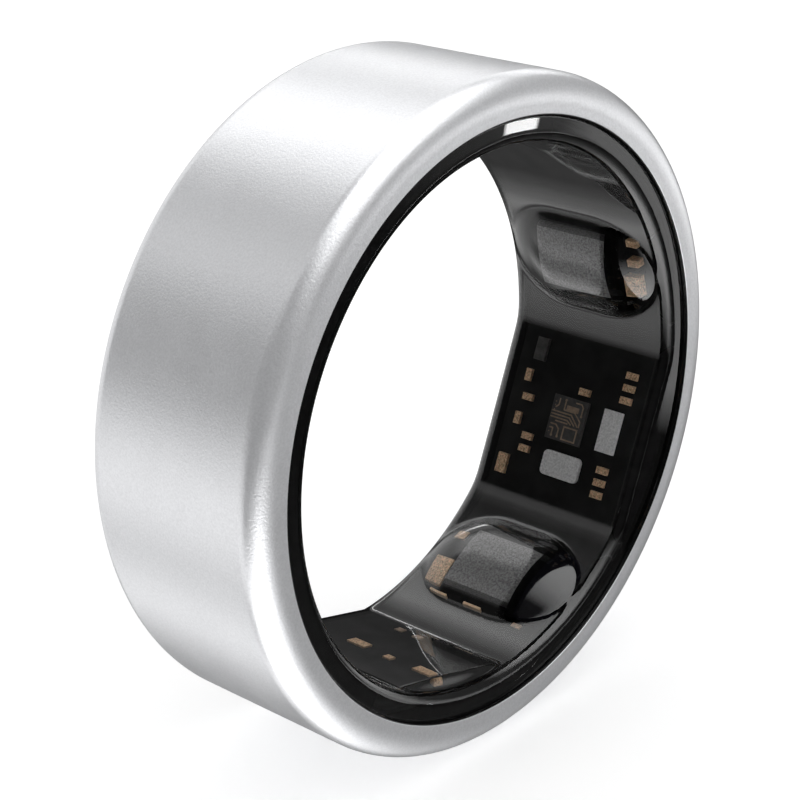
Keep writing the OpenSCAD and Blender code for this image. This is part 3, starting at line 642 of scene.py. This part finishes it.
# Two soft boxes in front of the ring: where each starts, is full, is still full and ends, by the share of a
# direction that points along the bore and by its angle round the bore's axis, and then its level
SOFT_BOXES = (((-0.6065, -0.605, -0.596, -0.5945), (-18.612, -18.324, -17.46, -17.208), 14.4),
              ((-0.585, -0.572, -0.46, -0.44), (-26.496, -24.984, -15.984, -14.508), 1.36))
FLOOR_HALF = 3.0  # metres
FLOOR_GLOW = 0.3  # what the camera sees of the floor, on top of its lit colour


def of_circle(degrees):
    """Share of the circle from -180 to 180 that lies below an angle."""
    return (degrees + 180) / 360


def grey(level):
    return (level / STUDIO_TOP,) * 3


def studio_bands(f, along, around):
    """Colour of the studio in a direction, from its part along the bore and its share of the circle."""
    rear, front = (f.node("ShaderNodeValToRGB",
                          {"stops": [(of_circle(degrees), level / STUDIO_TOP) for degrees, level in bands]},
                          {"Fac": around}) for bands in (REAR, FRONT))
    # Along the bore, the rear bands give way to an even level and the front bands fade
    beyond = f.spread(along, 0.76, 0.9, smooth=True)
    ahead = f.spread(along, 0.12, -0.02, smooth=True)
    fall = f.spread(along, -0.97, -0.75, 0.15, 1.0, smooth=True)
    lit = f.mix(ahead, f.mix(beyond, rear, grey(BEYOND)), f.mix(fall, grey(0), front))
    for along_edges, around_edges, level in SOFT_BOXES:
        around_edges = [of_circle(degrees) for degrees in around_edges]
        box = f.inside(along, *along_edges) * f.inside(around, *around_edges)
        lit = f.mix(box, lit, grey(level))
    return lit


def build_world():
    """White to the camera, plain light on dull surfaces, and the studio's bands in glossy ones."""
    world = bpy.data.worlds.new("studio")
    bpy.context.scene.world = world
    f = Finish(world)
    where = f.node("ShaderNodeTexCoord", out="Generated")
    x, y, z = (f.node("ShaderNodeSeparateXYZ", None, {0: where}, axis) for axis in ("X", "Y", "Z"))
    around = z.math("ARCTAN2", x) / FULL_TURN + 0.5
    bands = f.background(studio_bands(f, y, around), STUDIO_TOP)
    light = f.choice(f.seen_by("Glossy"), f.background((1, 1, 1), PLAIN_LIGHT), bands)
    f.done(f.choice(f.seen_by("Camera"), light, f.background((1, 1, 1), 1.0)))


def build_floor(tint):
    """A pale floor that keeps the ring's shadow, and lets glossy rays through to the studio."""
    f = finish("floor")
    cloud = f.noise(30, 2, 0.5)
    tone = f.mix(cloud, shade(tint, 0.99), shade(tint, 1.01))
    diffuse = f.node("ShaderNodeBsdfDiffuse", None, {"Color": tone})
    seen = f.seen_by("Camera") * FLOOR_GLOW
    glow = f.node("ShaderNodeEmission", None, {"Color": (1, 1, 1), "Strength": seen})
    plain = f.node("ShaderNodeAddShader", None, {0: diffuse, 1: glow})
    f.done(f.choice(f.seen_by("Glossy"), plain, f.node("ShaderNodeBsdfTransparent")))
    bm = bmesh.new()
    bmesh.ops.create_grid(bm, x_segments=1, y_segments=1, size=FLOOR_HALF)
    bmesh.ops.translate(bm, verts=bm.verts, vec=(0, 0, shell_low.z))
    mesh = bpy.data.meshes.new("floor")
    bm.to_mesh(mesh)
    bm.free()
    mesh.materials.append(bpy.data.materials["floor"])
    floor = bpy.data.objects.new("floor", mesh)
    bpy.context.scene.collection.objects.link(floor)


# Operators

class RING_OT_finishes(bpy.types.Operator):
    """Makes every finish of the ring"""
    bl_idname = "ring.finishes"
    bl_label = "Finishes"

    def execute(self, context):
        finishes(context.scene.ring_colours)
        return {"FINISHED"}


class RING_OT_shell(bpy.types.Operator):
    """Spins the satin shell and the black collars inside its faces, which are painted shade for the gap
    between metal and resin
    """
    bl_idname = "ring.shell"
    bl_label = "Shell"

    def execute(self, context):
        shell, lining = context.scene.ring_shell, context.scene.ring_lining
        build_shell(shell)
        # The collars paint the shade of the gap inside each metal face
        build_shade_collars(shell, shell.half_w - lining.face_y)
        dress(["outer_shell", "insulating_film"])
        return {"FINISHED"}


class RING_OT_lining(bpy.types.Operator):
    """Spins the resin lining and raises its flats and sensor bumps"""
    bl_idname = "ring.lining"
    bl_label = "Lining"

    def execute(self, context):
        build_lining(context.scene.ring_lining)
        dress(["inner_moulding", "black_liner", "back_potting"])
        return {"FINISHED"}


class RING_OT_board(bpy.types.Operator):
    """Finishes the board and the packages of the window and the charger flat"""
    bl_idname = "ring.board"
    bl_label = "Board and chips"

    def execute(self, context):
        dress(["flex_board", "board_stiffener", "power_chip", "processor_chip", "chip_traces", "crystal_can",
               "memory_chip", "motion_sensor", "large_capacitor", "rear_passives", "chip_resistor",
               "front_passives", "charger_inductors", "charger_resistor", "charger_capacitors", "antenna"])
        return {"FINISHED"}


class RING_OT_sensors(bpy.types.Operator):
    """Finishes what stands under the two sensor bumps"""
    bl_idname = "ring.sensors"
    bl_label = "Sensors"

    def execute(self, context):
        dress(["photodiode_upper", "photodiode_lower", "light_barrier_upper", "light_barrier_lower",
               "leds_upper", "filter_lower", "emitter_pads_lower", "contact_bars", "temperature_sensor"])
        return {"FINISHED"}


class RING_OT_power(bpy.types.Operator):
    """Lays the winding, and finishes the cell and its circuit"""
    bl_idname = "ring.power"
    bl_label = "Power"

    def execute(self, context):
        build_winding(context.scene.ring_winding)
        dress(["charging_coil", "coil_ferrite", "coil_pads", "battery_cell", "battery_tabs",
               "protection_board", "protection_chips"])
        return {"FINISHED"}


class RING_OT_stage(bpy.types.Operator):
    """Sets up the camera, the studio and the floor"""
    bl_idname = "ring.stage"
    bl_label = "Stage"

    def execute(self, context):
        build_camera(context.scene.ring_view)
        build_world()
        build_floor(context.scene.ring_colours.floor)
        context.scene.view_settings.view_transform = "Standard"
        return {"FINISHED"}


class RING_PT_panel(bpy.types.Panel):
    """Lists the ring's operators, and the sizes and colours that they read"""
    bl_idname = "RING_PT_panel"
    bl_label = "Smart Ring"
    bl_space_type = "VIEW_3D"
    bl_region_type = "UI"
    bl_category = "Ring"

    def draw(self, context):
        for operator in OPERATORS:
            self.layout.operator(operator.bl_idname)
        for group in GROUPS:
            box = self.layout.box()
            settings = getattr(context.scene, group)
            for name in settings.__annotations__:
                box.prop(settings, name)


OPERATORS = (RING_OT_finishes, RING_OT_shell, RING_OT_lining, RING_OT_board, RING_OT_sensors, RING_OT_power,
             RING_OT_stage)
GROUPS = {"ring_shell": ShellSizes, "ring_lining": LiningSizes, "ring_winding": WindingSizes,
          "ring_colours": RingColours, "ring_view": ViewSettings}
CLASSES = (*GROUPS.values(), *OPERATORS, RING_PT_panel)


def register():
    for cls in CLASSES:
        bpy.utils.register_class(cls)
    for name, group in GROUPS.items():
        setattr(bpy.types.Scene, name, PointerProperty(type=group))


def unregister():
    for name in GROUPS:
        delattr(bpy.types.Scene, name)
    for cls in reversed(CLASSES):
        bpy.utils.unregister_class(cls)


def main():
    register()
    bpy.ops.ring.finishes()
    bpy.ops.ring.shell()
    bpy.ops.ring.lining()
    bpy.ops.ring.board()
    bpy.ops.ring.sensors()
    bpy.ops.ring.power()
    bpy.ops.ring.stage()


if __name__ == "__main__":
    main()
